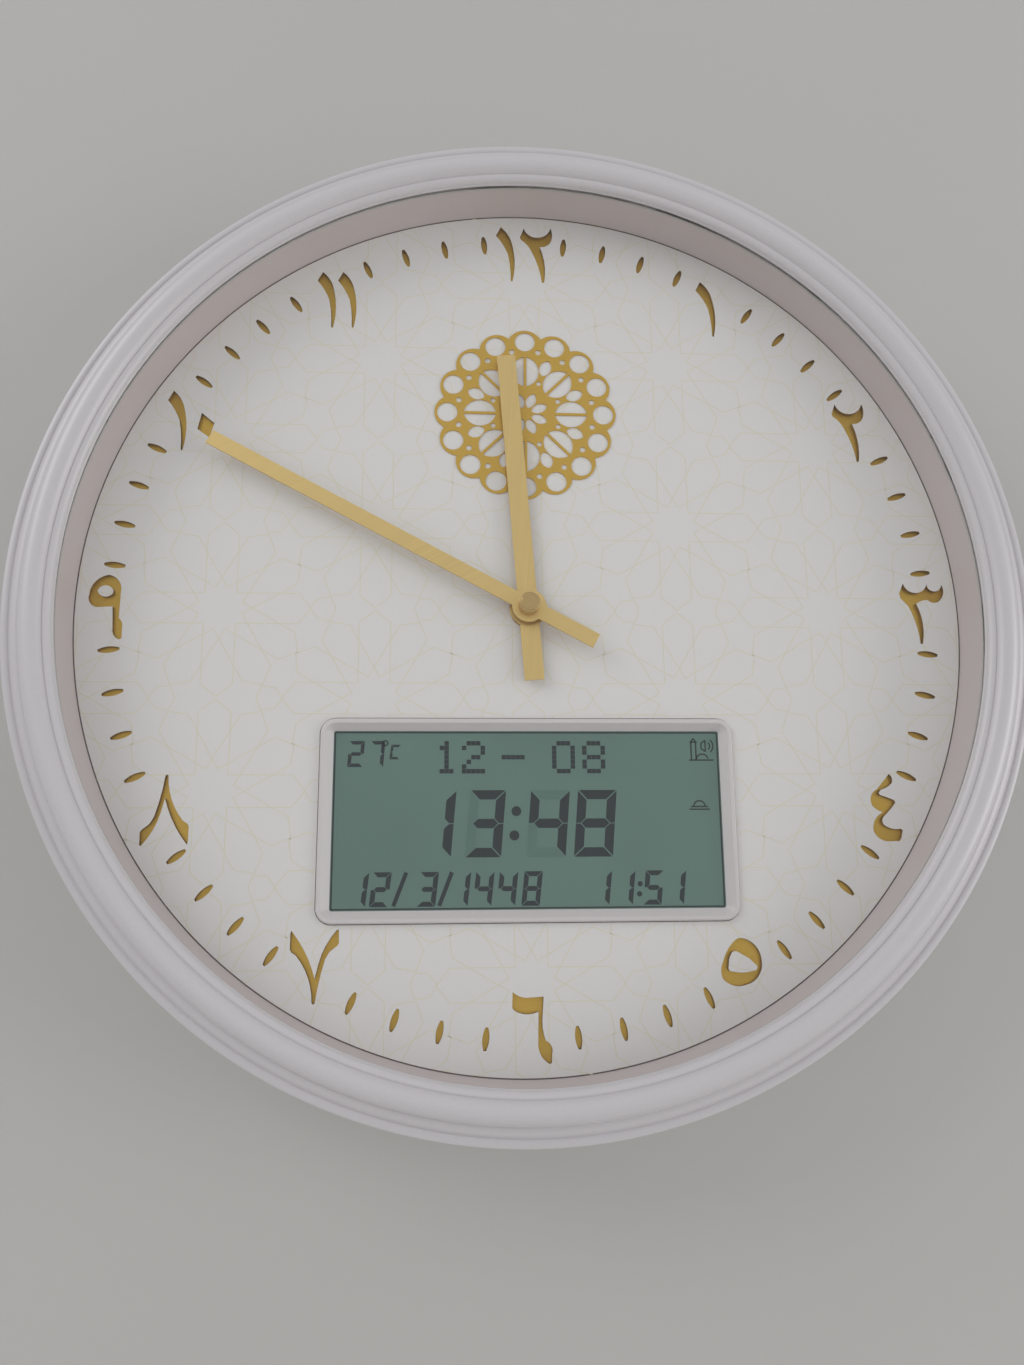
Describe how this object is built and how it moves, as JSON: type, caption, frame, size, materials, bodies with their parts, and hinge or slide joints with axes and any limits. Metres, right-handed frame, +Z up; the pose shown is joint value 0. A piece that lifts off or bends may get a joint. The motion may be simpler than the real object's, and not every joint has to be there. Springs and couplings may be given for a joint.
{
  "type": "azan wall clock",
  "caption": "Round analogue wall clock with a bevelled pearl frame, a cut-out figure dial, baton hands and a digital display window, with its movement, speaker and cells behind.",
  "frame": {"origin": "on the hands' axis, at the wall plane that the rear cover's flat back rests on", "axes": "+Z up towards twelve, +Y into the wall, the dial faces -Y, +X to the right of someone facing the dial"},
  "size_m": [0.33, 0.0519, 0.33],
  "materials": {
    "pearl_plastic": "pearl satin",
    "ring_plastic": "satin",
    "glass": "clear polished",
    "seal_foam": "matt foam",
    "dial_white": "matt white",
    "gold_sheet": "brushed gold",
    "gold_hand": "brushed gold",
    "cap_brass": "turned",
    "lcd_glass": "polariser",
    "lcd_reflector": "reflective film",
    "zebra_rubber": "striped",
    "board": "solder mask",
    "epoxy": "cured drop",
    "can_steel": "drawn can",
    "sensor_bead": "dipped bead",
    "screw_steel": "zinc plated",
    "black_plastic": "moulded",
    "grey_plastic": "moulded",
    "cover_plastic": "moulded white",
    "cell_jacket": "shrink sleeve",
    "magnet": "sintered",
    "cone_paper": "pressed pulp",
    "wheel_plastic": "moulded acetal",
    "wheel_brass": "turned",
    "copper": "enamelled wire",
    "lead_sleeve": "sleeved wire"
  },
  "bodies": {
    "case": {"front_frame": "pearl_plastic", "lcd_bezel": "pearl_plastic", "inner_ring": "ring_plastic", "front_glass": "glass", "glass_seal": "seal_foam", "rubber_washer": "seal_foam", "dial_face": "dial_white", "dial_gold_sheet": "gold_sheet", "dial_ornament": "gold_sheet", "mounting_nut": "cap_brass", "dial_washer": "cap_brass", "lcd_panel": "lcd_glass", "lcd_reflector": "lcd_reflector", "lcd_connectors": "zebra_rubber", "main_board": "board", "movement_board": "board", "main_chip": "epoxy", "board_crystal": "can_steel", "board_capacitors": "can_steel", "temperature_sensor": "sensor_bead", "board_screws": "screw_steel", "hanger_screws": "screw_steel", "case_screws": "screw_steel", "dial_screws": "screw_steel", "hanger_plate": "screw_steel", "battery_plates": "screw_steel", "battery_springs": "screw_steel", "train_bridge": "screw_steel", "movement_stator": "screw_steel", "key_switches": "black_plastic", "slide_switch_body": "black_plastic", "movement_front_case": "black_plastic", "movement_rear_case": "black_plastic", "speaker_frame": "black_plastic", "rear_cover": "cover_plastic", "batteries": "cell_jacket", "movement_battery": "cell_jacket", "speaker_magnet": "magnet", "movement_rotor": "magnet", "fifth_wheel": "wheel_plastic", "movement_coil": "copper", "inner_leads": "lead_sleeve"},
    "minute_works": {"centre_wheel": "wheel_brass", "minute_hand": "gold_hand", "centre_cap": "cap_brass"},
    "hour_works": {"hour_wheel": "wheel_plastic", "hour_hand": "gold_hand"},
    "motion_works": {"motion_wheel": "wheel_plastic", "set_knob": "black_plastic"},
    "third_works": {"third_wheel": "wheel_plastic"},
    "fourth_works": {"fourth_wheel": "wheel_plastic"},
    "cone": {"speaker_cone": "cone_paper"},
    "slider": {"slide_switch_knob": "black_plastic"},
    "door": {"battery_door": "cover_plastic"},
    "key_set": {"button_set": "grey_plastic"},
    "key_up": {"button_up": "grey_plastic"},
    "key_down": {"button_down": "grey_plastic"},
    "key_call": {"button_call": "grey_plastic"},
    "key_alarm": {"button_alarm": "grey_plastic"},
    "key_light": {"button_light": "grey_plastic"}
  },
  "joints": [
    {"name": "minute_turn", "type": "hinge", "parent": "case", "child": "minute_works", "pos_m": [0, -0.03, 0], "axis": [0, 1, 0], "continuous": true},
    {"name": "hour_turn", "type": "hinge", "parent": "case", "child": "hour_works", "pos_m": [0, -0.03, 0], "axis": [0, 1, 0], "continuous": true},
    {"name": "motion_turn", "type": "hinge", "parent": "case", "child": "motion_works", "pos_m": [0.01, -0.02, 0], "axis": [0, 1, 0], "continuous": true},
    {"name": "third_turn", "type": "hinge", "parent": "case", "child": "third_works", "pos_m": [0, -0.02, 0.0092], "axis": [0, 1, 0], "continuous": true},
    {"name": "fourth_turn", "type": "hinge", "parent": "case", "child": "fourth_works", "pos_m": [0, -0.018, 0], "axis": [0, 1, 0], "continuous": true},
    {"name": "cone_travel", "type": "slide", "parent": "case", "child": "cone", "axis": [0, 1, 0], "range_m": [-0.0008, 0.0008], "stiffness_N_per_m": 900},
    {"name": "slider_travel", "type": "slide", "parent": "case", "child": "slider", "axis": [1, 0, 0], "range_m": [0, 0.004]},
    {"name": "door_swing", "type": "hinge", "parent": "case", "child": "door", "pos_m": [-0.1281, -0.0015, 0], "axis": [0, 0, 1], "range_deg": [0, 100]},
    {"name": "key_set_press", "type": "slide", "parent": "case", "child": "key_set", "axis": [0, -1, 0], "range_m": [0, 0.0006], "stiffness_N_per_m": 2500},
    {"name": "key_up_press", "type": "slide", "parent": "case", "child": "key_up", "axis": [0, -1, 0], "range_m": [0, 0.0006], "stiffness_N_per_m": 2500},
    {"name": "key_down_press", "type": "slide", "parent": "case", "child": "key_down", "axis": [0, -1, 0], "range_m": [0, 0.0006], "stiffness_N_per_m": 2500},
    {"name": "key_call_press", "type": "slide", "parent": "case", "child": "key_call", "axis": [0, -1, 0], "range_m": [0, 0.0006], "stiffness_N_per_m": 2500},
    {"name": "key_alarm_press", "type": "slide", "parent": "case", "child": "key_alarm", "axis": [0, -1, 0], "range_m": [0, 0.0006], "stiffness_N_per_m": 2500},
    {"name": "key_light_press", "type": "slide", "parent": "case", "child": "key_light", "axis": [0, -1, 0], "range_m": [0, 0.0006], "stiffness_N_per_m": 2500}
  ],
  "couplings": [
    {"joint": "hour_turn", "follows": "minute_turn", "ratio": 0.083333},
    {"joint": "motion_turn", "follows": "minute_turn", "ratio": -0.33333},
    {"joint": "third_turn", "follows": "minute_turn", "ratio": -7.5},
    {"joint": "fourth_turn", "follows": "minute_turn", "ratio": 60}
  ]
}
